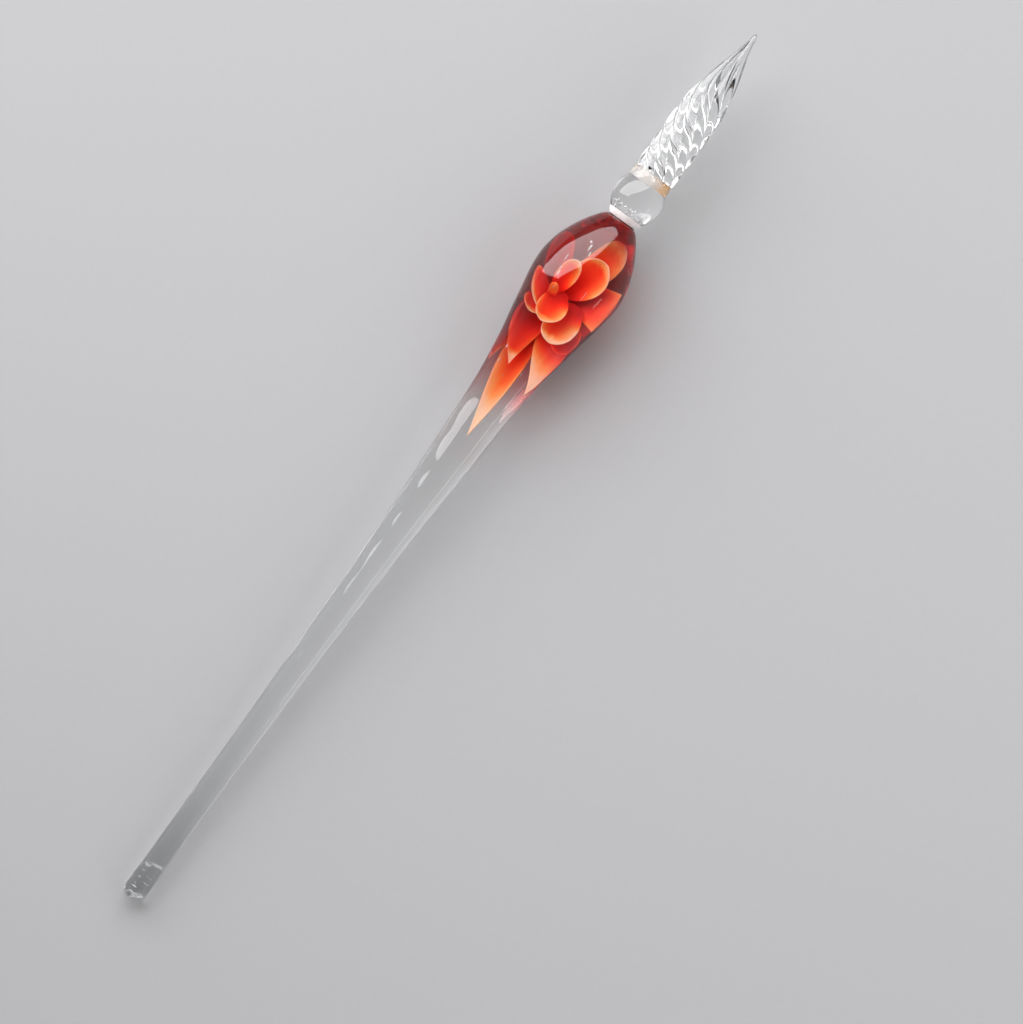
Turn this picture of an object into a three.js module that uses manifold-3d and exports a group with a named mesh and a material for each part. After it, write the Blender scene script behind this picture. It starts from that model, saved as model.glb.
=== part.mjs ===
// Glass dip pen: a twisted fluted nib and a ball knop on a teardrop grip that holds a glass flower,
// drawn out into a long thin handle. Millimetres, +X towards the nib tip, +Z up, resting on the floor.
import * as THREE from 'three';
import { mergeVertices } from 'three/addons/utils/BufferGeometryUtils.js';
import Module from 'manifold-3d';

const wasm = await Module();
wasm.setup();

// Stations run along the pen from the nib tip (0) to the end of the handle.
const penLength = 190;
const sides = 24;
const weldGap = 0.1;

const nib = { end: 30.7, flutes: 8, sidesPerFlute: 4, depth: 0.24, pitch: 32, straightUntil: 13, easing: 6 };
const nibOutline = [
  [0.25, 0.34], [1.8, 0.62], [5.3, 1.48], [8.9, 2.58], [12.5, 3.44], [17.8, 4.06], [27.5, 4.05], [30.7, 3.86],
];
const weldBand = { start: 30.8, end: 32.75, radius: 3.74, crown: 0.12 };
const knop = { start: 32.85, end: 39.3, centre: 35.8, radius: 4.63, halfLength: 5.2 };
const collar = { start: 39.4, end: 40.5, startRadius: 3.45, endRadius: 2.76 };
const grip = { start: 40.6, end: 92 };
const handle = { start: 92.1, end: 182.6 };
const endBead = { start: 182.7, dome: 1.5 };
const bodyOutline = [
  [40.5, 2.76], [41.65, 3.92], [44.6, 5.88], [48.1, 7.49], [51.2, 8.33], [53.7, 8.56], [57, 8.24], [62.4, 7.22],
  [71.3, 5.61], [80.2, 4.62], [92.7, 3.99], [107, 3.24], [128, 2.67], [150, 2.32], [171, 2.14], [190, 2.14],
];

// The ruby glass lies as a skin on the back and sides, closed round the neck and open over the flower.
const skin = { end: 82, thickness: 0.7, gap: 0.1 };
const windowEdge = [[43.6, 3.6], [49, 4.9], [56, 4.9], [66, 3.7], [80, 2.7], [94, 2.3]];
const windowTop = 12;

// The clear gather is laid on the backing glass, and the flower stands on the face between them.
const partingHeight = -2.1;
const flower = { station: 57.9, left: 1.7, gap: 0.15, wallMargin: 1.3 };
const bud = { base: [58.3, 1.7], tip: [56.3, 2, 4.4], radius: 0.85 };
// Each petal is [tip station, tip left, tip up, width, sweep to the side, name].
const petalRings = [
  {
    root: 0.3, floor: -1.2, thickness: 0.5, cup: 0.35, reach: 0.66, rise: 0.2, base: 0.5, tipRound: 0.4,
    petals: [
      [51.1, 1.2, 3.6, 2.9, 0, 'inner_petal_upper'],
      [63, 0.6, 3.5, 4.3, -0.4, 'inner_petal_lower'],
      [59.2, 4.6, 2.3, 7.2, 0.3, 'inner_petal_left'],
    ],
  },
  {
    root: 0.6, floor: -1.8, thickness: 0.5, cup: 0.35, reach: 0.66, rise: 0.14, base: 0.5, tipRound: 0.4,
    petals: [
      [49, -2.5, 2.2, 5.3, 0.7, 'middle_petal_upper'],
      [65.4, -2, 1.9, 5, -0.4, 'middle_petal_lower'],
      [62.8, 3.2, 1.4, 4, 0.4, 'middle_petal_left'],
    ],
  },
  {
    root: 0.8, floor: -2.1, thickness: 0.5, cup: 0.35, reach: 0.62, rise: 0.1, base: 0.55, tipRound: 0.32,
    petals: [
      [44.6, -2.6, 0.9, 4.3, 1.1, 'outer_petal_top'],
      [65.4, -5, 0.3, 5, -0.4, 'long_petal_right'],
      [48.5, 5, 0.3, 3.4, 0, 'outer_petal_top_left'],
    ],
  },
  {
    root: 0.8, floor: -2.1, thickness: 0.5, cup: 0.1, reach: 0.62, rise: 0.3, base: 0.3, tipRound: 0.015,
    petals: [[55.5, -8.15, 1.4, 8.4, 0, 'outer_petal_right']],
  },
  {
    root: 1.1, floor: -2.3, thickness: 0.5, cup: 0.3, reach: 0.6, rise: 0.1, base: 0.42, tipRound: 1.1,
    petals: [
      [75.9, -3.25, 0.2, 4.6, -1.2, 'long_petal_lower_right'],
      [87.7, -0.15, -0.1, 3.2, 0, 'long_petal_tail'],
      [72.7, 0.85, 0.9, 3.9, 1.4, 'long_petal_centre'],
      [74.2, 3.5, 0.3, 3.8, 0.3, 'long_petal_left'],
    ],
  },
];
// The petals that start off the flower's centre: [station, left].
const petalRoots = {
  inner_petal_lower: [56, 0.8],
  inner_petal_left: [57.3, 1.8],
  middle_petal_lower: [56.4, -1.4],
  middle_petal_left: [58.6, 2.4],
  outer_petal_right: [55.6, 0.5],
  long_petal_lower_right: [60, -0.6],
  long_petal_left: [60.4, 3.5],
};

const clearGlass = { color: 0xe9edef, roughness: 0.05, metalness: 0 };
const finishes = {
  nib_glass: clearGlass,
  weld_amber: { color: 0xb4783f, roughness: 0.25, metalness: 0 },
  knop_glass: clearGlass,
  frosted_glass: { color: 0xe6dedd, roughness: 0.5, metalness: 0 },
  body_glass: clearGlass,
  backing_glass: { color: 0xdfe3e6, roughness: 0.08, metalness: 0 },
  ruby_glass: { color: 0x8c1206, roughness: 0.08, metalness: 0 },
  petal_glass: { color: 0xe2401c, roughness: 0.35, metalness: 0 },
  bud_glass: { color: 0xf0622f, roughness: 0.35, metalness: 0 },
};

// Radius at a station: smooth cubic stretches between the outline's [station, radius] points.
function radiusAt(outline, station) {
  const last = outline.length - 1;
  let i = 0;
  while (i < last - 1 && station > outline[i + 1][0]) {
    i += 1;
  }
  const slope = (k) => {
    const a = outline[Math.max(k - 1, 0)];
    const b = outline[Math.min(k + 1, last)];
    return (b[1] - a[1]) / (b[0] - a[0]);
  };
  const [x0, y0] = outline[i];
  const [x1, y1] = outline[i + 1];
  const h = x1 - x0;
  const t = THREE.MathUtils.clamp((station - x0) / h, 0, 1);
  const t2 = t * t;
  const t3 = t2 * t;
  const ends = (2 * t3 - 3 * t2 + 1) * y0 + (3 * t2 - 2 * t3) * y1;
  return ends + h * ((t3 - 2 * t2 + t) * slope(i) + (t3 - t2) * slope(i + 1));
}

// A turned solid about the pen's axis from [station, radius] pairs, with a flat side facing down.
function turned(profile, count = sides) {
  const points = profile.map(([station, radius]) => new THREE.Vector2(radius, -station));
  const geometry = new THREE.LatheGeometry(points.reverse(), count);
  geometry.rotateY(Math.PI / count);
  geometry.rotateZ(-Math.PI / 2);
  return geometry;
}

// The body's outline between two stations, offset and closed onto the axis.
function bodyBetween(start, end, offset = 0, step = 2.2) {
  const count = Math.ceil((end - start) / step);
  const profile = [[start, 0]];
  for (let i = 0; i <= count; i += 1) {
    const station = start + ((end - start) * i) / count;
    profile.push([station, radiusAt(bodyOutline, station) + offset]);
  }
  profile.push([end, 0]);
  return turned(profile);
}

function welded(geometry) {
  const plain = geometry.clone();
  plain.deleteAttribute('normal');
  plain.deleteAttribute('uv');
  return mergeVertices(plain, 1e-5);
}

// Moves every vertex out along its normal, for the pocket that a piece sits in.
function inflated(geometry, gap) {
  const grown = welded(geometry);
  grown.computeVertexNormals();
  const { position, normal } = grown.attributes;
  for (let i = 0; i < position.count; i += 1) {
    position.setXYZ(
      i,
      position.getX(i) + gap * normal.getX(i),
      position.getY(i) + gap * normal.getY(i),
      position.getZ(i) + gap * normal.getZ(i),
    );
  }
  return grown;
}

function toSolid(geometry) {
  const merged = welded(geometry);
  const mesh = new wasm.Mesh({
    numProp: 3,
    vertProperties: new Float32Array(merged.attributes.position.array),
    triVerts: new Uint32Array(merged.index.array),
  });
  return new wasm.Manifold(mesh);
}

function toGeometry(solid) {
  const mesh = solid.getMesh();
  const geometry = new THREE.BufferGeometry();
  geometry.setAttribute('position', new THREE.BufferAttribute(new Float32Array(mesh.vertProperties), 3));
  geometry.setIndex(new THREE.BufferAttribute(new Uint32Array(mesh.triVerts), 1));
  geometry.computeVertexNormals();
  return geometry;
}

// The biggest piece of a solid that cutting may have left in several.
function largestPiece(solid) {
  const pieces = solid.simplify(0.01).decompose();
  return pieces.reduce((best, piece) => (piece.volume() > best.volume() ? piece : best));
}

// The nib: a round drawn bar with rounded ridges that run straight at the tip and then wind left-handed.
function makeNib() {
  const profile = [[0, 0]];
  const rings = 26;
  for (let i = 0; i <= rings; i += 1) {
    const station = nibOutline[0][0] + (nib.end - nibOutline[0][0]) * (i / rings) ** 1.1;
    profile.push([station, radiusAt(nibOutline, station)]);
  }
  profile.push([nib.end, 0]);
  const geometry = turned(profile, nib.flutes * nib.sidesPerFlute);
  const position = geometry.attributes.position;
  for (let i = 0; i < position.count; i += 1) {
    const past = -position.getX(i) - nib.straightUntil;
    const turn = ((Math.hypot(past, nib.easing) + past) / 2) * ((2 * Math.PI) / nib.pitch);
    const around = Math.atan2(position.getY(i), position.getZ(i));
    const ridge = Math.abs(Math.cos((nib.flutes / 2) * around));
    const radius = Math.hypot(position.getY(i), position.getZ(i)) * (1 - nib.depth * (1 - ridge));
    position.setY(i, radius * Math.sin(around - turn));
    position.setZ(i, radius * Math.cos(around - turn));
  }
  return geometry;
}

function makeWeldBand() {
  const { start, end, radius, crown } = weldBand;
  const middle = (start + end) / 2;
  return turned([[start, 0], [start, radius], [middle, radius + crown], [end, radius], [end, 0]]);
}

function makeKnop() {
  const rings = 10;
  const profile = [[knop.start, 0]];
  for (let i = 0; i <= rings; i += 1) {
    const station = knop.start + ((knop.end - knop.start) * i) / rings;
    const along = (station - knop.centre) / knop.halfLength;
    profile.push([station, knop.radius * Math.sqrt(1 - along * along)]);
  }
  profile.push([knop.end, 0]);
  return turned(profile);
}

function makeCollar() {
  const { start, end, startRadius, endRadius } = collar;
  return turned([[start, 0], [start, startRadius], [end, endRadius], [end, 0]]);
}

function makeEndBead() {
  const radius = radiusAt(bodyOutline, penLength);
  const steps = 5;
  const profile = [[endBead.start, 0], [endBead.start, radius]];
  for (let i = 0; i < steps; i += 1) {
    const angle = (Math.PI / 2) * (i / steps);
    profile.push([penLength - endBead.dome * (1 - Math.sin(angle)), radius * Math.cos(angle)]);
  }
  profile.push([penLength, 0]);
  return turned(profile);
}

// The prism over the flower where the ruby skin is left open; grow shrinks the opening for the gather's pocket.
function windowPrism(grow) {
  const outline = new THREE.Shape();
  const first = windowEdge[0];
  const last = windowEdge[windowEdge.length - 1];
  outline.moveTo(-(first[0] + grow), windowTop);
  windowEdge.forEach(([station, height], i) => {
    outline.lineTo(-(station + (i === 0 ? grow : 0)), height + grow);
  });
  outline.lineTo(-last[0], windowTop);
  const prism = new THREE.ExtrudeGeometry(outline, { depth: 2 * windowTop, bevelEnabled: false });
  prism.translate(0, 0, -windowTop);
  prism.rotateX(Math.PI / 2);
  return toSolid(prism);
}

function makeSkin(grow) {
  const outer = bodyBetween(grip.start - (grow ? 0.5 : 0), skin.end + grow, grow ? 0.5 : 0);
  const inner = bodyBetween(grip.start - 1, skin.end + 1, -(skin.thickness + grow));
  return toSolid(outer).subtract(toSolid(inner)).subtract(windowPrism(grow));
}

// Keeps a point of the flower inside the glass, a wall's margin in from the outside.
function pressInside(point) {
  const limit = radiusAt(bodyOutline, -point.x) - flower.wallMargin;
  const radius = Math.hypot(point.y, point.z);
  if (radius > limit) {
    point.y *= limit / radius;
    point.z *= limit / radius;
  }
}

// A petal: a round ball drawn out along a curved midline, flat across its thickness and cupped across its width.
function makePetal(ring, [station, left, up, width, sweep, name]) {
  const [rootStation, rootLeft] = petalRoots[name] ?? [flower.station, flower.left];
  const tip = new THREE.Vector3(-station, left, up);
  const centre = new THREE.Vector3(-rootStation, rootLeft, ring.floor);
  const outward = new THREE.Vector3(tip.x - centre.x, tip.y - centre.y, 0).normalize();
  const across = new THREE.Vector3(0, 0, 1).cross(outward);
  const root = centre.clone().addScaledVector(outward, ring.root);
  const bend = root.clone().lerp(tip, ring.reach).addScaledVector(across, -sweep);
  bend.z = THREE.MathUtils.lerp(root.z, tip.z, ring.rise);
  const midline = new THREE.QuadraticBezierCurve3(root, bend, tip);
  const peak = ring.base / (ring.base + ring.tipRound);
  const fullness = peak ** ring.base * (1 - peak) ** ring.tipRound;
  const geometry = new THREE.SphereGeometry(1, 12, 9);
  const position = geometry.attributes.position;
  const point = new THREE.Vector3();
  for (let i = 0; i < position.count; i += 1) {
    const v = THREE.MathUtils.clamp((1 - position.getY(i)) / 2, 0, 1);
    const belt = Math.sqrt(Math.max(1 - position.getY(i) ** 2, 0));
    const u = belt > 1e-4 ? position.getX(i) / belt : 0;
    const q = belt > 1e-4 ? position.getZ(i) / belt : 0;
    const facing = midline.getTangent(v).cross(across).normalize();
    const half = (width / 2) * ((v ** ring.base * (1 - v) ** ring.tipRound) / fullness);
    const thick = (ring.thickness / 2) * (4 * v * (1 - v)) ** 0.35;
    point.copy(midline.getPoint(v)).addScaledVector(across, u * half);
    point.addScaledVector(facing, ring.cup * u * u * half + q * thick);
    pressInside(point);
    position.setXYZ(i, point.x, point.y, point.z);
  }
  return geometry;
}

// The bud: a slim drop that stands on the flower's centre and leans with it.
function makeBud() {
  const root = new THREE.Vector3(-bud.base[0], bud.base[1], partingHeight - 0.4);
  const tip = new THREE.Vector3(-bud.tip[0], bud.tip[1], bud.tip[2]);
  const height = root.distanceTo(tip);
  const profile = [];
  for (let i = 0; i <= 8; i += 1) {
    const t = i / 8;
    const radius = bud.radius * (0.55 + 0.45 * t) * Math.sqrt(Math.max(1 - t ** 4, 0));
    profile.push(new THREE.Vector2(radius, t * height));
  }
  const geometry = new THREE.LatheGeometry([new THREE.Vector2(0, 0), ...profile], 12);
  const upright = new THREE.Vector3(0, 1, 0);
  const lean = new THREE.Quaternion().setFromUnitVectors(upright, tip.sub(root).normalize());
  geometry.applyQuaternion(lean);
  geometry.translate(root.x, root.y, root.z);
  return geometry;
}

const pen = new THREE.Group();

function addPart(name, geometry, finish) {
  const mesh = new THREE.Mesh(geometry, new THREE.MeshStandardMaterial(finishes[finish]));
  mesh.name = name;
  mesh.material.name = finish;
  pen.add(mesh);
}

addPart('nib', makeNib(), 'nib_glass');
addPart('nib_weld_band', makeWeldBand(), 'weld_amber');
addPart('ball_knop', makeKnop(), 'knop_glass');
addPart('neck_collar', makeCollar(), 'frosted_glass');

// The flower is cut from the inside out: each petal gives way to those that stand in front of it.
const petals = petalRings.flatMap((ring) => ring.petals.map((petal) => ({ ring, petal })));
const budShape = makeBud();
let pocket = toSolid(inflated(budShape, flower.gap));
const above = (geometry) => toSolid(geometry).trimByPlane([0, 0, 1], partingHeight + 0.05);
addPart('flower_bud', toGeometry(above(budShape)), 'bud_glass');
petals.forEach(({ ring, petal }) => {
  const shape = makePetal(ring, petal);
  const body = largestPiece(above(shape).subtract(pocket));
  addPart(petal[5], toGeometry(body), 'petal_glass');
  pocket = pocket.add(toSolid(inflated(shape, flower.gap)));
});

const gather = toSolid(bodyBetween(grip.start, grip.end)).subtract(makeSkin(skin.gap));
const front = gather.trimByPlane([0, 0, 1], partingHeight).subtract(pocket);
const back = gather.trimByPlane([0, 0, -1], -(partingHeight - weldGap));
addPart('front_gather', toGeometry(largestPiece(front)), 'body_glass');
addPart('backing_glass', toGeometry(largestPiece(back)), 'backing_glass');
addPart('ruby_skin', toGeometry(largestPiece(makeSkin(0))), 'ruby_glass');
addPart('handle_rod', bodyBetween(handle.start, handle.end, 0, 7), 'body_glass');
addPart('handle_end_bead', makeEndBead(), 'knop_glass');

// At rest the pen lies on the grip's fullest ring and on the end of the handle, with the nib in the air.
const fullest = bodyOutline.reduce((best, point) => (point[1] > best[1] ? point : best));
const tailContact = penLength - endBead.dome;
const tailRadius = radiusAt(bodyOutline, tailContact);
pen.rotation.y = -Math.asin((fullest[1] - tailRadius) / (tailContact - fullest[0]));

const model = new THREE.Group();
model.name = 'glass_dip_pen';
model.add(pen);
model.updateMatrixWorld(true);
const bounds = new THREE.Box3().setFromObject(model, true);
const middle = bounds.getCenter(new THREE.Vector3());
pen.position.set(-middle.x, -middle.y, -bounds.min.z);
model.updateMatrixWorld(true);

export default model;
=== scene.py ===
import math

import bpy
import numpy as np
from mathutils import Matrix, Vector


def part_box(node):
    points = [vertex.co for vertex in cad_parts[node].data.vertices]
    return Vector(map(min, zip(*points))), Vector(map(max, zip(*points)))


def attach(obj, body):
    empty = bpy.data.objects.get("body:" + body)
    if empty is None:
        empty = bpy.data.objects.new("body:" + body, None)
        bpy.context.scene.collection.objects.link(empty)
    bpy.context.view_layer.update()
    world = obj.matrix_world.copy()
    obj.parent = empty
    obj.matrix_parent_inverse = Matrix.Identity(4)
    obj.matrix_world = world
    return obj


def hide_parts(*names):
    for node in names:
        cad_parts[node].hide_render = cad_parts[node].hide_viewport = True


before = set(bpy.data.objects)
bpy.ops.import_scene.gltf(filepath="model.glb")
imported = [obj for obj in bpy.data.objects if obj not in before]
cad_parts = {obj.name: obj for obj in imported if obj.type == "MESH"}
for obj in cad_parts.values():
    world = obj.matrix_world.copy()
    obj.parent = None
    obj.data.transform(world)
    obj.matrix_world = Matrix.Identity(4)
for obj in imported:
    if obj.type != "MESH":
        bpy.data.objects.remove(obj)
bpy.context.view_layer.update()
scene = bpy.context.scene
print("frame loaded:", len(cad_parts), "parts")

mm = 0.001

# The pen's own ruler: stations in mm run along its axis from the nib tip (0) to the end of the handle.
pen = {
    "length": 190.0,
    "fullest": (53.7, 8.56),     # station and radius of the grip where it touches the floor
    "restEnd": (188.5, 2.14),    # and of the handle's end, the other point it lies on
    "bandMiddle": 31.775,        # the weld band's box is centred on the axis here
}

tilt = math.asin((pen["fullest"][1] - pen["restEnd"][1]) / (pen["restEnd"][0] - pen["fullest"][0]))
axisDir = np.array([math.cos(tilt), 0.0, math.sin(tilt)])
leftDir = np.array([0.0, 1.0, 0.0])
upDir = np.array([-math.sin(tilt), 0.0, math.cos(tilt)])
bandLow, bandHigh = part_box("nib_weld_band")
bandCentre = np.array((bandLow + bandHigh) / 2)


# Pen ruler to row frame: the band's centre, plus the way along the axis, to the left and up.
def toRow(points):
    along = (pen["bandMiddle"] - points[..., 0:1]) * axisDir
    return bandCentre + mm * (along + points[..., 1:2] * leftDir + points[..., 2:3] * upDir)


camera = {
    "azimuth": 0.0, "elevation": 84.0, "distance": 1.0,
    "lens": 197.75,
    "roll": 53.69,                     # the pen runs up to the right at this angle
    "aim": (0.0011, -0.0146, 0.006),   # beside the pen, which lies a little left of the middle
}


# The direction that an azimuth, from +X towards +Y, and an elevation point in.
def direction(azimuth, elevation):
    around, above = math.radians(azimuth), math.radians(elevation)
    return Vector((math.cos(around) * math.cos(above), math.sin(around) * math.cos(above), math.sin(above)))


def makeCamera():
    data = bpy.data.cameras.new("camera")
    data.lens = camera["lens"]
    data.clip_start = 0.01
    made = bpy.data.objects.new("camera", data)
    scene.collection.objects.link(made)
    back = direction(camera["azimuth"] - 90, camera["elevation"])
    across = direction(camera["azimuth"], 0.0)
    above = back.cross(across)
    roll = math.radians(camera["roll"])
    right = across * math.cos(roll) - above * math.sin(roll)
    up = across * math.sin(roll) + above * math.cos(roll)
    place = Vector(camera["aim"]) + back * camera["distance"]
    axes = Matrix((right, up, back)).transposed().to_4x4()
    made.matrix_world = Matrix.Translation(place) @ axes
    scene.camera = made


# A softbox stands at `place`, measured from the grip, with its back turned to `azimuth` and `elevation`
# and its long side rolled from level. The key and fill are mirrored in the glass as panes of light; the
# bounce board only lifts the shade inside the grip.
lights = {
    "gripCentre": (0.04, 0.0, 0.008),
    "key": {
        "place": (0.284, 0.16, 0.545), "azimuth": 51.5, "elevation": -2.1, "roll": 15.5,
        "size": (1.14, 0.83), "watts": 17.0, "colour": (1.0, 0.985, 1.0),
    },
    "fill": {
        "place": (-0.12, -0.8, 0.12), "azimuth": -98, "elevation": 8, "roll": 0,
        "size": (0.16, 0.07), "watts": 0.1, "colour": (1.0, 0.99, 0.97),
    },
    "bounce": {
        "place": (0.12, -0.55, 0.4), "azimuth": -78, "elevation": 36, "roll": 0,
        "size": (0.9, 0.5), "watts": 3.5, "colour": (1.0, 0.99, 0.98), "mirrored": False,
    },
}


def makeSoftbox(name, spec):
    data = bpy.data.lights.new(name, "AREA")
    data.shape = "RECTANGLE"
    data.size, data.size_y = spec["size"]
    data.energy = spec["watts"]
    data.color = spec["colour"]
    made = bpy.data.objects.new(name, data)
    scene.collection.objects.link(made)
    away = direction(spec["azimuth"], spec["elevation"])
    level = direction(spec["azimuth"] + 90, 0.0)
    above = away.cross(level)
    roll = math.radians(spec["roll"])
    side = level * math.cos(roll) - above * math.sin(roll)
    place = Vector(lights["gripCentre"]) + Vector(spec["place"])
    axes = Matrix((side, away.cross(side), away)).transposed().to_4x4()
    made.matrix_world = Matrix.Translation(place) @ axes
    made.visible_camera = False
    made.visible_glossy = spec.get("mirrored", True)


# Makes a node, sets its options, and fills each input with a value or a link.
def addNode(tree, kind, inputs=None, **options):
    made = tree.nodes.new(kind)
    for option, value in options.items():
        setattr(made, option, value)
    for key, value in (inputs or {}).items():
        if isinstance(value, bpy.types.NodeSocket):
            tree.links.new(value, made.inputs[key])
        else:
            made.inputs[key].default_value = value
    return made


# A colour for each value of `factor`, straight between the (value, colour) stops.
def addRamp(tree, factor, stops):
    made = addNode(tree, "ShaderNodeValToRGB", {"Fac": factor})
    elements = made.color_ramp.elements
    while len(elements) < len(stops):
        elements.new(0.5)
    for element, (place, colour) in zip(elements, stops):
        element.position = place
        element.color = (*colour, 1.0)
    return made.outputs["Color"]


# Blends from one colour to another as the mask goes from 0 to 1.
def mixColour(tree, mask, first, second):
    return addNode(tree, "ShaderNodeMix", {0: mask, 6: first, 7: second}, data_type="RGBA").outputs[2]


# A mask that goes smoothly from 0 at `low` to `most` at `high`.
def fadeMask(tree, value, low, high, most=1.0):
    inputs = {"Value": value, "From Min": low, "From Max": high, "To Max": most}
    return addNode(tree, "ShaderNodeMapRange", inputs, interpolation_type="SMOOTHSTEP").outputs["Result"]


def addMath(tree, operation, first, second):
    return addNode(tree, "ShaderNodeMath", {0: first, 1: second}, operation=operation).outputs["Value"]


def addNoise(tree, where, scale, detail, **inputs):
    inputs = {"Vector": where, "Scale": scale, "Detail": detail} | inputs
    return addNode(tree, "ShaderNodeTexNoise", inputs).outputs["Fac"]


# Relief in the surface normal, as deep as `depth` in mm.
def addBump(tree, height, depth, strength=1.0):
    inputs = {"Strength": strength, "Distance": depth * mm, "Height": height}
    return addNode(tree, "ShaderNodeBump", inputs).outputs["Normal"]


def objectCoords(tree):
    return addNode(tree, "ShaderNodeTexCoord").outputs["Object"]


def startMaterial(name):
    made = bpy.data.materials.new(name)
    made.use_nodes = True
    made.node_tree.nodes.clear()
    return made, made.node_tree


def finishMaterial(tree, surface, volume=None):
    out = addNode(tree, "ShaderNodeOutputMaterial", {"Surface": surface})
    if volume is not None:
        tree.links.new(volume, out.inputs["Volume"])


# The studio: dark straight overhead, bright half way up and dim towards the floor.
studio = {
    "strength": 0.7,
    "heights": [
        (0.0, (0.3, 0.3, 0.31)), (0.06, (0.5, 0.5, 0.51)), (0.28, (0.66, 0.665, 0.68)),
        (0.48, (0.42, 0.42, 0.43)), (0.7, (0.16, 0.16, 0.165)), (0.9, (0.06, 0.06, 0.062)),
        (1.0, (0.03, 0.03, 0.03)),
    ],
}


def makeWorld():
    world = bpy.data.worlds.new("studio")
    world.use_nodes = True
    tree = world.node_tree
    tree.nodes.clear()
    way = addNode(tree, "ShaderNodeTexCoord").outputs["Generated"]
    height = addNode(tree, "ShaderNodeSeparateXYZ", {"Vector": way}).outputs["Z"]
    sky = addRamp(tree, height, studio["heights"])
    background = addNode(tree, "ShaderNodeBackground", {"Color": sky, "Strength": studio["strength"]})
    addNode(tree, "ShaderNodeOutputWorld", {"Surface": background.outputs["Background"]})
    scene.world = world


floor = {"reach": 1.6, "colour": (0.3, 0.302, 0.306), "grain": 0.985, "roughness": 0.6}


# A plain pale floor whose fine grain darkens it by a hair.
def makeFloor():
    reach = floor["reach"]
    corners = [(-reach, -reach, 0), (reach, -reach, 0), (reach, reach, 0), (-reach, reach, 0)]
    mesh = bpy.data.meshes.new("floor")
    mesh.from_pydata(corners, [], [(0, 1, 2, 3)])
    made = bpy.data.objects.new("floor", mesh)
    scene.collection.objects.link(made)
    material, tree = startMaterial("paleStudioFloor")
    grain = addNoise(tree, objectCoords(tree), 900.0, 3.0)
    darker = tuple(part * floor["grain"] for part in floor["colour"])
    shader = addNode(tree, "ShaderNodeBsdfPrincipled", {
        "Base Color": addRamp(tree, grain, [(0.3, darker), (0.7, floor["colour"])]),
        "Roughness": floor["roughness"], "Specular IOR Level": 0.2,
    })
    finishMaterial(tree, shader.outputs["BSDF"])
    mesh.materials.append(material)


makeCamera()
makeSoftbox("keySoftbox", lights["key"])
makeSoftbox("fillSoftbox", lights["fill"])
makeSoftbox("bounceBoard", lights["bounce"])
makeWorld()
makeFloor()
scene.cycles.max_bounces = 40              # light crosses many layers of glass
scene.cycles.transmission_bounces = 40
scene.view_settings.view_transform = "Standard"
print("camera, light and floor made")


# Radius at each station: a smooth cubic between neighbouring [station, radius] points, with the slope
# at a point taken from the points on either side of it.
def smoothRadius(outline, station):
    knots = np.array(outline, float)
    x, y = knots[:, 0], knots[:, 1]
    slope = np.gradient(y, x)
    slope[1:-1] = (y[2:] - y[:-2]) / (x[2:] - x[:-2])
    i = np.clip(np.searchsorted(x, station) - 1, 0, len(x) - 2)
    h = x[i + 1] - x[i]
    t = np.clip((station - x[i]) / h, 0.0, 1.0)
    ends = (2 * t**3 - 3 * t**2 + 1) * y[i] + (3 * t**2 - 2 * t**3) * y[i + 1]
    return ends + h * ((t**3 - 2 * t**2 + t) * slope[i] + (t**3 - t**2) * slope[i + 1])


# 0 below `low`, 1 above `high`, and a smooth cubic between.
def smoothStep(low, high, value):
    t = np.clip((value - low) / (high - low), 0.0, 1.0)
    return t * t * (3 - 2 * t)


# The order that makes faces point outwards: the closed body's volume, summed over its quads, has to be
# positive.
def outwardOrder(vertices, quads):
    a, b, c, d = (vertices[quads[:, k]] for k in range(4))
    volume = np.einsum("ij,ij->", a, np.cross(b, c)) + np.einsum("ij,ij->", a, np.cross(c, d))
    return slice(None, None, -1) if volume < 0 else slice(None)


# Smooths and links a finished mesh, gives it its material, rides it on the pen and hides the parts it
# replaces.
def finishPiece(name, mesh, material, replaced, sharp=None):
    mesh.polygons.foreach_set("use_smooth", np.ones(len(mesh.polygons), bool))
    if sharp is not None:
        mesh.set_sharp_from_angle(angle=math.radians(sharp))
    mesh.update()
    mesh.validate()
    mesh.materials.append(material)
    made = bpy.data.objects.new(name, mesh)
    scene.collection.objects.link(made)
    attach(made, "root")
    if replaced:
        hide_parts(*replaced)


# The four corners of every cell of a grid, in order round it.
def cellCorners(grid, axis):
    return np.stack([grid[:-1, :-1], grid[:-1, 1:], grid[1:, 1:], grid[1:, :-1]], axis)


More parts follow.
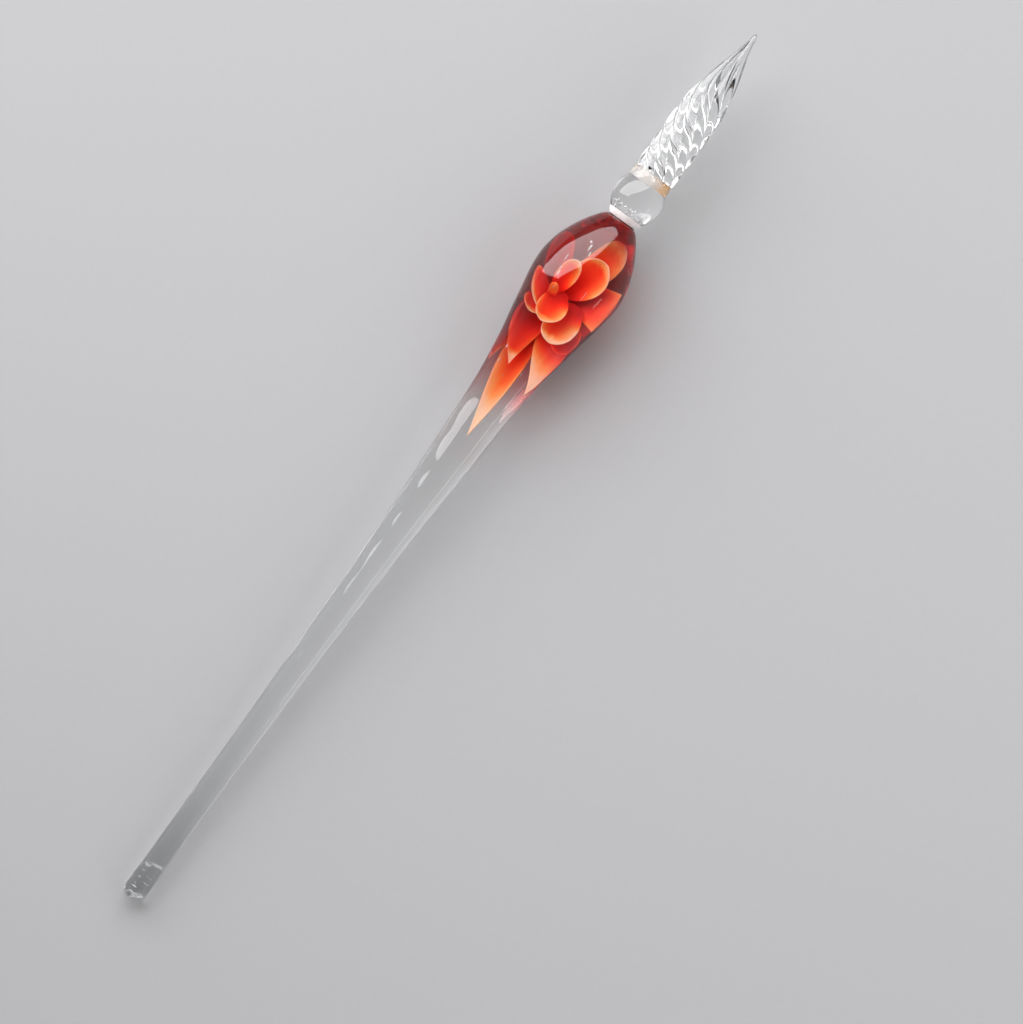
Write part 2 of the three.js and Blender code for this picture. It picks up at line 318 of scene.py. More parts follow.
# A closed skin from a grid of points in the pen's ruler. Columns go round and the last repeats the first;
# the first and last rows are single points, or, for a ring, the rows go round as well.
def gridPiece(name, points, uv, material, replaced, ring=False, sharp=None):
    rows, cols = points.shape[0], points.shape[1] - 1
    if ring:
        rows -= 1
        index = np.arange(rows * cols).reshape(rows, cols)
        index = np.concatenate([index, index[:1]])
        index = np.concatenate([index, index[:, :1]], axis=1)
        vertices = points[:-1, :-1].reshape(-1, 3)
        faceUv = uv
    else:
        index = 2 + np.arange((rows - 2) * cols).reshape(rows - 2, cols)
        index = np.concatenate([index, index[:, :1]], axis=1)
        vertices = np.concatenate([points[0, :1], points[-1, :1], points[1:-1, :-1].reshape(-1, 3)])
        faceUv = uv[1:-1]
    quads = cellCorners(index, -1).reshape(-1, 4)
    quadUv = cellCorners(faceUv, -2).reshape(-1, 4, 2)
    vertices = toRow(vertices)
    order = outwardOrder(vertices, quads)
    faces = quads[:, order].tolist()
    corners = [quadUv[:, order].reshape(-1, 2)]
    if not ring:
        start = np.stack([np.zeros(cols, int), index[0, 1:], index[0, :-1]], -1)
        end = np.stack([np.ones(cols, int), index[-1, :-1], index[-1, 1:]], -1)
        startUv = np.stack([uv[0, :-1], faceUv[0, 1:], faceUv[0, :-1]], -2)
        endUv = np.stack([uv[-1, :-1], faceUv[-1, :-1], faceUv[-1, 1:]], -2)
        faces += start[:, order].tolist() + end[:, order].tolist()
        corners += [startUv[:, order].reshape(-1, 2), endUv[:, order].reshape(-1, 2)]
    mesh = bpy.data.meshes.new(name)
    mesh.from_pydata(vertices.tolist(), [], faces)
    layer = mesh.uv_layers.new(name="surface")
    layer.data.foreach_set("uv", np.concatenate(corners).astype(np.float32).ravel())
    finishPiece(name, mesh, material, replaced, sharp)


# Points and map of a surface round the axis, from station, angle and radius at each place of a grid. Angle 0
# is the top, and the seam is underneath.
def roundAxis(station, angle, radius):
    points = np.stack([station, radius * np.sin(angle), radius * np.cos(angle)], -1)
    return points, np.stack([(angle + math.pi) / (2 * math.pi), station / pen["length"]], -1)


# A turned grid: each row is a circle of the given radius about the axis, pushed in or out by `shape`, a share
# of the radius worked out from station and angle.
def turnedGrid(stations, radii, around, shape):
    station, angle = np.meshgrid(stations, np.linspace(-math.pi, math.pi, around + 1), indexing="ij")
    return roundAxis(station, angle, radii[:, None] * shape(station, angle))


# A closed shell between two surfaces over the same grid: out along the outer one, back along the inner one.
def shellGrid(station, angle, outer, inner):
    along = np.concatenate([station, station[::-1], station[:1]])
    around = np.concatenate([angle, angle[::-1], angle[:1]])
    return roundAxis(along, around, np.concatenate([outer, inner[::-1], outer[:1]]))


# Closes a turned outline with a flat face at each end.
def closeEnds(stations, radii):
    return np.concatenate([stations[:1], stations, stations[-1:]]), np.concatenate([[0.0], radii, [0.0]])


# Slow ripples left by working glass in a flame, drawn out along the pen, and patches of fine finger marks.
def makeFlameWaver():
    group = bpy.data.node_groups.new("flameWaver", "ShaderNodeTree")
    sockets = [
        ("Position", "INPUT", "NodeSocketVector"), ("Ripples per metre", "INPUT", "NodeSocketFloat"),
        ("Stretch", "INPUT", "NodeSocketFloat"), ("Height", "OUTPUT", "NodeSocketFloat"),
        ("Smudge", "OUTPUT", "NodeSocketFloat"),
    ]
    for name, way, kind in sockets:
        group.interface.new_socket(name, in_out=way, socket_type=kind)
    given = addNode(group, "NodeGroupInput").outputs
    inputs = {"X": given["Stretch"], "Y": 1.0, "Z": 1.0}
    stretch = addNode(group, "ShaderNodeCombineXYZ", inputs).outputs["Vector"]
    inputs = {0: given["Position"], 1: stretch}
    drawn = addNode(group, "ShaderNodeVectorMath", inputs, operation="MULTIPLY").outputs["Vector"]
    slow = addNoise(group, drawn, given["Ripples per metre"], 1.5, Roughness=0.4)
    fine = addNoise(group, given["Position"], 1500.0, 2.0)
    patchy = addNoise(group, given["Position"], 140.0, 3.0)
    inputs = {"Value": patchy, "From Min": 0.5, "From Max": 0.75}
    touched = addNode(group, "ShaderNodeMapRange", inputs).outputs["Result"]
    addNode(group, "NodeGroupOutput", {"Height": slow, "Smudge": addMath(group, "MULTIPLY", touched, fine)})
    return group


flameWaver = makeFlameWaver()


clearGlass = {"tint": (0.985, 0.995, 0.99, 1.0), "ior": 1.47, "dull": 0.05}


# Clear hard glass: plain transmission, a slow ripple in the surface, `depth` mm deep, and a few dull finger
# marks. The colour is the glass's own tint unless one is given.
def makeClearGlass(name, ripples, stretch, depth, findColour=None):
    material, tree = startMaterial(name)
    waver = addNode(tree, "ShaderNodeGroup", node_tree=flameWaver)
    tree.links.new(objectCoords(tree), waver.inputs["Position"])
    waver.inputs["Ripples per metre"].default_value = ripples
    waver.inputs["Stretch"].default_value = stretch
    shader = addNode(tree, "ShaderNodeBsdfPrincipled", {
        "Base Color": findColour(tree) if findColour else clearGlass["tint"],
        "Roughness": addMath(tree, "MULTIPLY", waver.outputs["Smudge"], clearGlass["dull"]),
        "IOR": clearGlass["ior"], "Transmission Weight": 1.0,
        "Normal": addBump(tree, waver.outputs["Height"], depth),
    })
    finishMaterial(tree, shader.outputs["BSDF"])
    return material


# The body's outline from the neck, over the grip, to the end of the handle: (station, radius).
bodyOutline = [
    (40.5, 2.76), (41.65, 3.92), (44.6, 5.88), (48.1, 7.49), (51.2, 8.33), (53.7, 8.56), (57, 8.24),
    (62.4, 7.22), (71.3, 5.61), (80.2, 4.62), (92.7, 3.99), (107, 3.24), (128, 2.67), (150, 2.32),
    (171, 2.14), (190, 2.14),
]

body = {
    "start": 40.55, "startRadius": 2.76, "endRadius": 2.14,
    "soft": 0.25,                  # radius of the rounded corner at the neck
    "dome": 1.7,                   # height of the rounded end
    # from, to and count of the rows, which stand closer where the outline curves
    "rows": [(40.82, 60, 90), (60.3, 182, 200), (182.15, 188.2, 60)],
    "around": 144,
    "wobble": 0.004,               # share of the radius by which the hand-drawn outline wanders
    "crease": (182.64, 0.13, 0.3),     # station, depth and half width of the ring near the end
    "ripple": (183.2, 188.2, 0.011),   # from, to and height of the ripples behind it
    "windowTurn": 11.0,            # the window's middle is this far round to the right of the top
    "blush": (0.9, 0.06, 0.035, 1.0),
    "blushFrom": (61.0, 74.0),     # degrees from the window's middle where the ruby blush begins and is full
    "blushDrift": 8.0,             # how far that edge wanders, in degrees
    "shoulder": (44.6, 43.0),      # stations between which it closes over the top
    "fade": (80.0, 64.0),          # and between which it dies away into the handle
}


# Hand-drawn unevenness: a few slow waves along and round the body, a small share of its radius.
def handDrawn(station, theta):
    waves = np.sin(station * 0.31 + 1.3 * np.cos(theta)) + 0.6 * np.sin(station * 0.83 - theta)
    return 1 + body["wobble"] * (waves + 0.5 * np.cos(2 * theta + station * 0.17))


# The body's surface: hand-drawn, with a shallow ring pressed in near the end and slanting ripples behind it.
def bodyShape(station, theta):
    place, depth, width = body["crease"]
    ring = depth * np.exp(-((station - place - 0.12 * np.sin(theta)) / width) ** 2) / body["endRadius"]
    start, end, height = body["ripple"]
    inside = smoothStep(start, start + 1, station) * (1 - smoothStep(end - 1.5, end, station))
    ripples = height * inside * np.sin(4.6 * station + 1.5 * np.sin(theta + 0.6))
    return handDrawn(station, theta) - ring + ripples


# Ruby blush in the body's skin: on the back and sides, right round the shoulder, dying away along the handle.
# The piece's own map gives the angle round the pen and the station.
def findBlush(tree):
    surface = addNode(tree, "ShaderNodeTexCoord").outputs["UV"]
    split = addNode(tree, "ShaderNodeSeparateXYZ", {"Vector": surface}).outputs
    drift = addMath(tree, "MULTIPLY", addNoise(tree, objectCoords(tree), 160.0, 1.0), body["blushDrift"])
    turn = addMath(tree, "SUBTRACT", split["X"], 0.5 - body["windowTurn"] / 360)
    turn = addMath(tree, "MULTIPLY", addMath(tree, "ABSOLUTE", turn, 0.0), 360.0)
    degrees = addMath(tree, "ADD", turn, drift)
    station = addMath(tree, "MULTIPLY", split["Y"], pen["length"])
    low, high = (edge + body["blushDrift"] / 2 for edge in body["blushFrom"])
    side = fadeMask(tree, degrees, low, high)
    cover = addMath(tree, "MAXIMUM", side, fadeMask(tree, station, *body["shoulder"]))
    mask = addMath(tree, "MULTIPLY", cover, fadeMask(tree, station, *body["fade"]))
    return mixColour(tree, mask, clearGlass["tint"], body["blush"])


# The outline: a corner rounded by a quarter circle at the neck, the drawn outline, and a quarter ellipse for
# the rounded end.
def makeBodyGlass():
    quarter = np.linspace(0.0, math.pi / 2, 6)[::-1]
    neck = body["start"] + body["soft"] * (1 - np.sin(quarter))
    neckRadii = body["startRadius"] - body["soft"] * (1 - np.cos(quarter))
    middle = np.concatenate([np.linspace(*run) for run in body["rows"]])
    quarter = np.linspace(0.0, math.pi / 2, 24)[1:]
    dome = pen["length"] - body["dome"] * (1 - np.sin(quarter))
    domeRadii = body["endRadius"] * np.cos(quarter)
    domeRadii[-1] = 0.0
    stations = np.concatenate([[body["start"]], neck, middle, dome])
    radii = np.concatenate([[0.0], neckRadii, smoothRadius(bodyOutline, middle), domeRadii])
    points, uv = turnedGrid(stations, radii, body["around"], bodyShape)
    material = makeClearGlass("clearBodyGlass", 150.0, 0.06, 0.02, findBlush)
    replaced = ["front_gather", "backing_glass", "handle_rod", "handle_end_bead"]
    gridPiece("body_glass", points, uv, material, replaced, sharp=50)


makeBodyGlass()
print("body made")


ruby = {
    "start": 40.65, "end": 92.0, "rows": 170, "around": 144,
    "depth": 0.05,                 # how far under the surface it lies
    "neckRadius": 2.55,            # where it starts, and how steeply it may widen from there
    "neckSlope": 40,
    "thickness": 0.75, "thinnest": 0.006,
    "closedUntil": (43.0, 44.6),   # the shoulder is covered all round up to here
    "window": (61.0, 74.0),        # degrees from the window's middle where the cover begins and is full
    "fade": (62.0, 84.0),          # stations over which the ruby thins out into the handle
    "absorb": (0.93, 0.06, 0.04), "density": 2000.0,
}


# The skin's thickness: full on the back and sides, thin in the window over the flower, closed round the
# shoulder, and dying away along the handle.
def rubyThickness(station, theta):
    low, high = np.radians(ruby["window"])
    turn = np.abs(theta + math.radians(body["windowTurn"])) + 0.05 * np.sin(station * 0.5)
    side = smoothStep(low, high, turn)
    shoulder = 1 - smoothStep(*ruby["closedUntil"], station + 0.3 * np.sin(2 * theta))
    cover = np.maximum(side, shoulder)
    fade = 1 - smoothStep(*ruby["fade"], station)
    return ruby["thinnest"] + (ruby["thickness"] - ruby["thinnest"]) * cover * fade


# The skin's colour is in its depth: its surfaces don't bend light, and what passes between them turns red.
def makeRubySkin():
    line = np.linspace(ruby["start"], ruby["end"], ruby["rows"])
    theta = np.linspace(-math.pi, math.pi, ruby["around"] + 1)
    station, angle = np.meshgrid(line, theta, indexing="ij")
    outer = smoothRadius(bodyOutline, station) * handDrawn(station, angle) - ruby["depth"]
    outer = np.minimum(outer, ruby["neckRadius"] + ruby["neckSlope"] * (station - ruby["start"]))
    points, uv = shellGrid(station, angle, outer, outer - rubyThickness(station, angle))
    material, tree = startMaterial("rubyGlass")
    inputs = {"Vector": objectCoords(tree), "Scale": (60.0, 300.0, 300.0)}
    streak = addNoise(tree, addNode(tree, "ShaderNodeMapping", inputs).outputs["Vector"], 1.0, 2.0)
    shader = addNode(tree, "ShaderNodeBsdfPrincipled", {
        "Base Color": addRamp(tree, streak, [(0.35, (1.0, 0.985, 0.98)), (0.65, (1.0, 1.0, 1.0))]),
        "Roughness": 0.0, "IOR": 1.0, "Transmission Weight": 1.0,
    })
    absorbing = {"Color": (*ruby["absorb"], 1.0), "Density": ruby["density"]}
    volume = addNode(tree, "ShaderNodeVolumeAbsorption", absorbing).outputs["Volume"]
    finishMaterial(tree, shader.outputs["BSDF"], volume)
    gridPiece("ruby_skin_glass", points, uv, material, ["ruby_skin"], ring=True)


makeRubySkin()
print("ruby skin made")


nib = {
    "end": 30.72,
    "flutes": 8, "depth": 0.24,    # ridges, and how deep the grooves are as a share of the radius
    "pitch": 32.0,                 # mm for a whole turn, left-handed
    "straightUntil": 13.0, "easing": 6.0,      # where the turn sets in, and over how many mm
    "outline": [
        (0.0, 0.1), (0.35, 0.36), (1.8, 0.62), (5.3, 1.48), (8.9, 2.58), (12.5, 3.44), (17.8, 4.06),
        (27.5, 4.05), (30.72, 3.86),
    ],
    "tipRow": 0.02, "rows": 260, "crowding": 1.25,     # rows stand closer towards the tip
    "aroundFlute": 24,
}


# Ridges: the radius falls from each rounded ridge to a narrow groove as the size of a cosine does, and the
# whole section turns, slowly at the tip and evenly behind it. The grooves deepen in two steps from the tip.
def flutedNib(station, theta):
    past = station - nib["straightUntil"]
    turn = (np.hypot(past, nib["easing"]) + past) / 2 * (2 * math.pi / nib["pitch"])
    ridge = np.abs(np.cos(nib["flutes"] / 2 * (theta + turn)))
    tipFade = 0.35 * smoothStep(0.3, 2.0, station) + 0.65 * smoothStep(2.0, 9.0, station)
    return 1 - nib["depth"] * (1 - ridge) * tipFade


def makeNib():
    share = np.linspace(0.0, 1.0, nib["rows"]) ** nib["crowding"]
    rows = nib["tipRow"] + (nib["end"] - nib["tipRow"]) * share
    stations = np.concatenate([[0.0], rows, [nib["end"]]])
    radii = smoothRadius(nib["outline"], stations)
    radii[0] = radii[-1] = 0.0
    points, uv = turnedGrid(stations, radii, nib["flutes"] * nib["aroundFlute"], flutedNib)
    material = makeClearGlass("clearNibGlass", 90.0, 0.35, 0.01)
    gridPiece("fluted_nib", points, uv, material, ["nib"], sharp=60)


makeNib()
print("nib made")


band = {
    "start": 30.76, "end": 32.8, "radius": 3.83,
    "crown": 0.09,                 # how much fuller it is in the middle
    "ridges": 0.16,                # how far the nib's grooves run on into its front
    "pale": (0.93, 0.9, 0.86, 1.0), "amber": (0.72, 0.4, 0.17, 1.0),
    "amberFrom": (0.001, -0.0042), # metres to the left where it is pale, and where it is amber
}


# The band's section: the nib's grooves, closing up towards the ball, with small lumps from the flame.
def weldShape(station, theta):
    t = (station - band["start"]) / (band["end"] - band["start"])
    turn = (station - nib["straightUntil"]) * 2 * math.pi / nib["pitch"]
    ridge = np.abs(np.cos(nib["flutes"] / 2 * (theta + turn)))
    lumps = 0.014 * np.sin(5 * theta + station) + 0.01 * np.sin(11 * theta - 2 * station)
    closing = smoothStep(0.0, 0.55, t + 0.12 * np.sin(3 * theta))
    return 1 + lumps - band["ridges"] * (1 - ridge) * (1 - closing)


def makeWeldBand():
    stations = np.linspace(band["start"], band["end"], 30)
    t = (stations - band["start"]) / (band["end"] - band["start"])
    stations, radii = closeEnds(stations, band["radius"] + band["crown"] * np.sin(math.pi * t))
    points, uv = turnedGrid(stations, radii, nib["flutes"] * nib["aroundFlute"], weldShape)
    material, tree = startMaterial("amberWeldGlass")
    where = objectCoords(tree)
    cloud = addNoise(tree, where, 420.0, 4.0)
    left = addNode(tree, "ShaderNodeSeparateXYZ", {"Vector": where}).outputs["Y"]
    uneven = addMath(tree, "SUBTRACT", cloud, 0.5)
    toAmber = addMath(tree, "ADD", fadeMask(tree, left, *band["amberFrom"]), uneven)
    shader = addNode(tree, "ShaderNodeBsdfPrincipled", {
        "Base Color": mixColour(tree, fadeMask(tree, toAmber, 0.0, 0.9), band["pale"], band["amber"]),
        "Roughness": fadeMask(tree, cloud, 0.3, 0.7, 0.25),
        "IOR": clearGlass["ior"], "Transmission Weight": 0.8, "Normal": addBump(tree, cloud, 0.06, 0.7),
    })
    finishMaterial(tree, shader.outputs["BSDF"])
    gridPiece("amber_weld", points, uv, material, ["nib_weld_band"], sharp=50)


knop = {"start": 32.82, "end": 39.36, "centre": 35.8, "radius": 4.63, "halfLength": 5.2, "wobble": 0.004}


# The ball: an ellipse turned about the axis and cut off where it meets its neighbours, a little out of round.
def makeKnop():
    stations = np.linspace(knop["start"], knop["end"], 70)
    radii = knop["radius"] * np.sqrt(1 - ((stations - knop["centre"]) / knop["halfLength"]) ** 2)
    stations, radii = closeEnds(stations, radii)
    points, uv = turnedGrid(stations, radii, 128, lambda s, a: 1 + knop["wobble"] * np.sin(2 * a + 0.7 * s))
    material = makeClearGlass("clearKnopGlass", 140.0, 1.0, 0.02)
    gridPiece("ball_knop_glass", points, uv, material, ["ball_knop"], sharp=50)


collar = {
    "start": 39.38, "end": 40.54, "startRadius": 3.42, "endRadius": 2.76,
    "crown": 0.05, "lumps": 0.006,
    "milk": [(0.3, (0.8, 0.72, 0.7)), (0.6, (0.93, 0.9, 0.89)), (0.8, (0.96, 0.95, 0.95))],
}


# The collar: a short cone, slightly crowned, with seven low lumps round it.
def makeCollar():
    stations = np.linspace(collar["start"], collar["end"], 18)
    t = (stations - collar["start"]) / (collar["end"] - collar["start"])
    radii = collar["startRadius"] + (collar["endRadius"] - collar["startRadius"]) * t
    stations, radii = closeEnds(stations, radii + collar["crown"] * np.sin(math.pi * t))
    points, uv = turnedGrid(stations, radii, 128, lambda s, a: 1 + collar["lumps"] * np.sin(7 * a + 2 * s))
    material, tree = startMaterial("milkyCollarGlass")
    where = objectCoords(tree)
    fizz = addNode(tree, "ShaderNodeTexVoronoi", {"Vector": where, "Scale": 2200.0}).outputs["Distance"]
    shader = addNode(tree, "ShaderNodeBsdfPrincipled", {
        "Base Color": addRamp(tree, addNoise(tree, where, 900.0, 4.0), collar["milk"]),
        "Roughness": 0.3, "IOR": clearGlass["ior"], "Transmission Weight": 0.25,
        "Normal": addBump(tree, fizz, 0.03, 0.5),
    })
    finishMaterial(tree, shader.outputs["BSDF"])
    gridPiece("milky_collar", points, uv, material, ["neck_collar"], sharp=50)


makeWeldBand()
makeKnop()
makeCollar()
print("weld, knop and collar made")


shoulder = {
    "start": 40.8, "end": 43.2,
    "depth": 0.02, "thickness": 0.022,     # how far under the surface it lies, above the ruby skin
    "deep": (0.2, 0.008, 0.006), "bright": (0.42, 0.03, 0.02),
}


# The densest ruby: a film just under the shoulder's surface, its far edge wandering by a few slow waves.
def makeRubyShoulder():
    theta = np.linspace(-math.pi, math.pi, ruby["around"] + 1)
    t, angle = np.meshgrid(np.linspace(0.0, 1.0, 30), theta, indexing="ij")
    end = shoulder["end"] + 0.25 * np.sin(2 * angle + 0.6) + 0.12 * np.sin(5 * angle)
    station = shoulder["start"] + (end - shoulder["start"]) * t
    outer = smoothRadius(bodyOutline, station) * handDrawn(station, angle) - shoulder["depth"]
    points, uv = shellGrid(station, angle, outer, outer - shoulder["thickness"])
    material, tree = startMaterial("denseRubyGlass")
    cloud = addNoise(tree, objectCoords(tree), 700.0, 3.0)
    shader = addNode(tree, "ShaderNodeBsdfPrincipled", {
        "Base Color": addRamp(tree, cloud, [(0.35, shoulder["deep"]), (0.7, shoulder["bright"])]),
        "Roughness": 0.3, "IOR": 1.0, "Specular IOR Level": 0.0, "Transmission Weight": 0.45,
    })
    finishMaterial(tree, shader.outputs["BSDF"])
    gridPiece("ruby_shoulder_glass", points, uv, material, [], ring=True)


makeRubyShoulder()
print("ruby shoulder made")


# Air seeds: (station, left, up, half length, half width) of the single ones, in the grip and at the handle's
# end, then clouds of fine ones as (count, stations, left, up, size) in the knop, the handle and the weld.
seeds = {
    "single": [
        (47.0, 1.35, 6.0, 0.35, 0.26), (47.9, 0.9, 6.2, 0.7, 0.2), (48.9, 0.3, 6.35, 0.45, 0.14),
        (51.6, 3.2, 6.6, 0.7, 0.1), (53.6, 2.9, 7.0, 0.25, 0.16), (54.6, 2.7, 7.1, 0.6, 0.13),
        (55.3, -3.1, 6.6, 1.1, 0.035), (57.0, 2.0, 6.4, 0.14, 0.1), (70.4, 2.7, 3.3, 0.5, 0.06),
        (73.2, 2.4, 2.9, 0.6, 0.06), (72.9, -1.9, 3.4, 0.35, 0.05), (75.1, 0.4, 3.9, 0.1, 0.08),
        (187.6, 0.5, 0.9, 0.16, 0.5), (188.6, -0.3, 0.6, 0.12, 0.8), (188.3, -1.0, 0.8, 0.1, 0.35),
        (186.1, -0.9, 1.1, 0.08, 0.5), (184.9, -0.7, 1.0, 0.06, 0.6),
    ],
    "clouds": [
        (60, (37.6, 39.1), (-2.7, 2.7), (0.2, 2.3), (0.06, 0.2)),
        (10, (36.6, 38.2), (0.2, -2.9), (0.5, 2.0), (0.04, 0.1)),
        (14, (133.0, 150.0), (-1.5, 1.5), (-1.0, 1.6), (0.03, 0.06)),
        (9, (98.0, 128.0), (-1.8, 1.8), (-1.0, 2.0), (0.03, 0.05)),
        (16, (31.2, 33.6), (-2.6, 2.6), (1.6, 2.9), (0.03, 0.08)),
    ],
    "longest": 2.2,                # a fine one is up to this many times as long as it is wide
    "high": 8, "around": 12,
    "draw": 11,
}


# Trapped air looks silvery from inside glass. Its bright colour, with a little grain, is a painted reflection
# that stands in for the light the air's surface mirrors.
def makeSeedPaintedSheen():
    material, tree = startMaterial("airSeedPaintedSheen")
    grain = addNoise(tree, objectCoords(tree), 5000.0, 2.0)
    shader = addNode(tree, "ShaderNodeBsdfPrincipled", {
        # painted reflection: a pale colour in place of the light that the bubble's surface mirrors
        "Base Color": addRamp(tree, grain, [(0.3, (0.75, 0.74, 0.75)), (0.7, (0.97, 0.96, 0.96))]),
        "Metallic": 0.35, "Roughness": 0.15, "Transmission Weight": 0.4, "IOR": 1.3,
    })
    finishMaterial(tree, shader.outputs["BSDF"])
    return material


# Every seed is the same small ball of facets, stretched and put in its place by whole arrays.
def makeSeeds():
    rng = np.random.default_rng(seeds["draw"])
    rows = [np.array(seeds["single"], float)]
    for count, *spans, sizes in seeds["clouds"]:
        place = [rng.uniform(min(span), max(span), count) for span in spans]
        size = rng.uniform(*sizes, count)
        rows.append(np.stack([*place, size * rng.uniform(1.0, seeds["longest"], count), size], -1))
    every = np.concatenate(rows)
    high, around = seeds["high"], seeds["around"]
    polar = np.linspace(0.0, math.pi, high + 1)[1:-1, None]
    turn = np.linspace(0.0, 2 * math.pi, around + 1)[None, :-1]
    out = np.sin(polar)
    ring = np.stack([np.cos(polar) + 0 * turn, out * np.cos(turn), out * np.sin(turn)], -1)
    ball = np.concatenate([[[1.0, 0.0, 0.0], [-1.0, 0.0, 0.0]], ring.reshape(-1, 3)])
    scale = np.stack([every[:, 3], every[:, 4], every[:, 4]], -1)
    vertices = toRow(every[:, None, :3] + scale[:, None, :] * ball[None])
    index = 2 + np.arange((high - 1) * around).reshape(high - 1, around)
    index = np.concatenate([index, index[:, :1]], axis=1)
    quads = cellCorners(index, -1).reshape(-1, 4)
    first = np.stack([np.zeros(around, int), index[0, 1:], index[0, :-1]], -1)
    last = np.stack([np.ones(around, int), index[-1, :-1], index[-1, 1:]], -1)
    order = outwardOrder(vertices[0] - vertices[0].mean(0), quads)
    step = len(ball) * np.arange(len(every))[:, None, None]
    faces = (quads[:, order] + step).reshape(-1, 4).tolist()
    faces += (first[:, order] + step).reshape(-1, 3).tolist()
    faces += (last[:, order] + step).reshape(-1, 3).tolist()
    mesh = bpy.data.meshes.new("air_seeds")
    mesh.from_pydata(vertices.reshape(-1, 3).tolist(), [], faces)
    finishPiece("air_seeds", mesh, makeSeedPaintedSheen(), [])


makeSeeds()
print("air seeds made")


flower = {
    "station": 57.9, "left": 1.7,  # its centre
    "wallMargin": 0.4,             # glass left between a petal and the body's surface
    "rimReach": 0.45,              # mm over which a rim pales
    "litRimBlend": (-0.4, 1.0),       # across a petal, where the glow painted on the pale rim's lit side begins and is full
    "rows": 72, "around": 72,
}

# The petals that start off the flower's centre: (station, left).
petalRoots = {
    "inner_petal_lower": (56.0, 0.8), "inner_petal_left": (57.3, 1.8),
    "middle_petal_lower": (56.4, -1.4), "middle_petal_left": (58.6, 2.4),
    "outer_petal_right": (55.6, 0.5), "long_petal_lower_right": (60.0, -0.6),
    "long_petal_left": (60.4, 3.5),
}

# What the petals of a ring share: how far out of the centre they start, the height of their roots,
# thickness, cupping, how far along the midline bends and how much of the rise it has made by then, and the
# roundness of root and tip.
ringShapes = {
    "inner": {
        "root": 0.5, "floor": 0.4, "thickness": 0.5, "cup": 0.35,
        "reach": 0.66, "rise": 0.2, "base": 0.5, "tipRound": 0.4,
    },
    "left": {
        "root": 0.5, "floor": 0.4, "thickness": 0.5, "cup": 0.15,
        "reach": 0.66, "rise": 0.2, "base": 0.5, "tipRound": 0.4,
    },
    "middle": {
        "root": 0.9, "floor": -0.6, "thickness": 0.5, "cup": 0.35,
        "reach": 0.66, "rise": 0.14, "base": 0.5, "tipRound": 0.4,
    },
    "outer": {
        "root": 1.4, "floor": -1.5, "thickness": 0.5, "cup": 0.35,
        "reach": 0.62, "rise": 0.1, "base": 0.55, "tipRound": 0.32,
    },
    "side": {
        "root": 1.4, "floor": -1.5, "thickness": 0.5, "cup": 0.1,
        "reach": 0.62, "rise": 0.3, "base": 0.3, "tipRound": 0.015,
    },
    "long": {
        "root": 1.8, "floor": -2.2, "thickness": 0.5, "cup": 0.3,
        "reach": 0.6, "rise": 0.1, "base": 0.42, "tipRound": 1.1,
    },
    "low": {
        "root": 1.8, "floor": -3.1, "thickness": 0.5, "cup": 0.15,
        "reach": 0.6, "rise": 0.1, "base": 0.42, "tipRound": 1.1,
    },
}

# Each petal: ring, (tip station, left, up), width, sweep to the left, or to the right where the petal points
# at the nib, (extra mm of pale rim painted as glow on its lit side, the side it is on, or 0 for a part of it
# on both), glass.
petals = {
    "inner_petal_upper": ("inner", (51.1, 1.2, 3.6), 2.9, 0.0, (0.6, 1), "inner"),
    "inner_petal_lower": ("inner", (63.0, 0.6, 3.5), 4.3, -0.4, (1.5, -1), "inner"),
    "inner_petal_left": ("left", (59.3, 4.6, 2.3), 7.2, 0.3, (0.5, 0), "inner"),
    "middle_petal_upper": ("middle", (49.0, -2.5, 2.2), 5.3, 0.7, (1.3, 1), "inner"),
    "middle_petal_lower": ("middle", (65.4, -2.0, 1.9), 5.0, -0.4, (4.5, -1), "peach"),
    "middle_petal_left": ("middle", (62.7, 2.8, 1.6), 3.6, 0.3, (0.2, 0), "inner"),
    "outer_petal_top": ("outer", (44.6, -2.6, 0.9), 4.3, 1.1, (1.6, 1), "outer"),
    "long_petal_right": ("outer", (65.4, -5.0, 0.3), 5.0, -0.4, (-0.2, 1), "crimson"),
    "outer_petal_top_left": ("outer", (48.5, 5.0, 0.3), 3.4, 0.0, (0.0, 0), "dark"),
    "outer_petal_right": ("side", (55.5, -8.15, 1.4), 8.4, 0.0, (0.8, 1), "side"),
    "long_petal_lower_right": ("long", (75.9, -3.25, 0.2), 4.6, -1.2, (0.6, 1), "amber"),
    "long_petal_tail": ("long", (87.7, -0.15, -0.1), 3.2, 0.0, (0.8, 1), "pale"),
    "long_petal_centre": ("long", (72.7, 0.85, 0.9), 3.9, 1.4, (0.3, -1), "red"),
    "long_petal_left": ("low", (74.2, 3.5, 0.3), 3.8, 0.3, (0.0, 1), "deep"),
}

# Petal glasses: how much the rim pales, where along the petal its tip begins to, how much, how far the
# blade has turned from red to orange before that, and a factor of painted light and shade beside the others:
# below 1 it paints shade that darkens the petal, above 1 it paints light that brightens it.
petalGlasses = {
    "inner": (0.9, 0.75, 0.6, 0.36, 1.0),
    "peach": (1.0, 0.7, 0.8, 0.4, 1.0),
    "outer": (0.8, 0.7, 0.55, 0.45, 0.7),
    "side": (0.55, 0.6, 0.3, 0.5, 1.0),
    "crimson": (0.45, 0.9, 0.3, 0.12, 1.25),
    "pale": (0.85, 0.45, 1.0, 0.66, 1.0),
    "amber": (0.85, 0.3, 1.0, 0.85, 1.0),
    "red": (0.5, 0.7, 0.9, 0.3, 0.8),
    "deep": (0.95, 0.85, 0.5, 0.05, 0.45),
    "dark": (0.25, 0.9, 0.3, 0.1, 0.6),
    "bud": (0.75, 0.9, 0.4, 0.5, 1.0),
}

